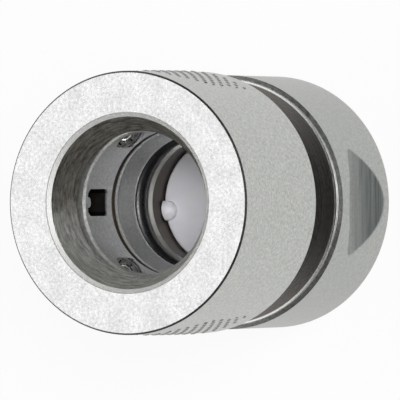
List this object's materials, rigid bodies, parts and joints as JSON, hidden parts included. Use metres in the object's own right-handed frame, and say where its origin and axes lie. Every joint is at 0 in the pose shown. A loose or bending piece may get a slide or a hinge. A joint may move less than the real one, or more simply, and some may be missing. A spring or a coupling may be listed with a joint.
{
  "type": "ball-lock quick coupling socket",
  "caption": "Round plated socket of a push-in liquid quick coupling, with a pull-back ball-lock sleeve, a shut-off valve and a threaded rear.",
  "frame": {"origin": "centre of the rear face, on the coupling's axis", "axes": "+Z along the axis from the threaded rear end to the mouth, -Y and +Y towards the wrench flats"},
  "size_m": [0.0342, 0.0342, 0.045],
  "materials": {
    "plated_sleeve": "satin nickel plate on brass, bright turned front face",
    "plated_body": "polished nickel plate on brass",
    "plated_rear": "satin nickel plate on brass, brushed wrench flats",
    "plated_ring": "turned nickel plate on brass",
    "bare_brass": "dull brown brass",
    "ball_steel": "polished",
    "spring_steel": "drawn wire",
    "seal_rubber": "smooth",
    "gasket_rubber": "matt",
    "white_plastic": "milky, slightly translucent",
    "guide_plastic": "milky"
  },
  "bodies": {
    "body": {"socket_body": "plated_body", "rear_body": "plated_rear", "seal_retainer": "plated_ring", "plug_oring": "seal_rubber", "valve_seat": "bare_brass", "seat_oring": "seal_rubber", "valve_guide": "guide_plastic", "guide_retaining_ring": "spring_steel", "body_joint_oring": "seal_rubber", "thread_gasket": "gasket_rubber", "sleeve_spring": "spring_steel", "poppet_spring": "spring_steel"},
    "pull_sleeve": {"sleeve": "plated_sleeve", "sleeve_retaining_ring": "spring_steel"},
    "poppet": {"valve_poppet": "white_plastic", "poppet_oring": "seal_rubber"},
    "lock_ball_1": {"ball_1": "ball_steel"},
    "lock_ball_2": {"ball_2": "ball_steel"},
    "lock_ball_3": {"ball_3": "ball_steel"}
  },
  "joints": [
    {"name": "sleeve_slide", "type": "slide", "parent": "body", "child": "pull_sleeve", "axis": [0, 0, -1], "range_m": [0, 0.0025], "stiffness_N_per_m": 2500, "springref_m": -0.003, "deforming": ["sleeve_spring"]},
    {"name": "valve_slide", "type": "slide", "parent": "body", "child": "poppet", "axis": [0, 0, -1], "range_m": [0, 0.0025], "stiffness_N_per_m": 1500, "springref_m": -0.003, "deforming": ["poppet_spring"]},
    {"name": "ball_1_slide", "type": "slide", "parent": "body", "child": "lock_ball_1", "axis": [0, -1, 0], "range_m": [0, 0.0008801]},
    {"name": "ball_2_slide", "type": "slide", "parent": "body", "child": "lock_ball_2", "axis": [0.866, 0.5, 0], "range_m": [0, 0.0008801]},
    {"name": "ball_3_slide", "type": "slide", "parent": "body", "child": "lock_ball_3", "axis": [-0.866, 0.5, 0], "range_m": [0, 0.0008801]}
  ],
  "couplings": [
    {"joint": "ball_1_slide", "follows": "sleeve_slide", "ratio": 0.352},
    {"joint": "ball_2_slide", "follows": "sleeve_slide", "ratio": 0.352},
    {"joint": "ball_3_slide", "follows": "sleeve_slide", "ratio": 0.352}
  ]
}
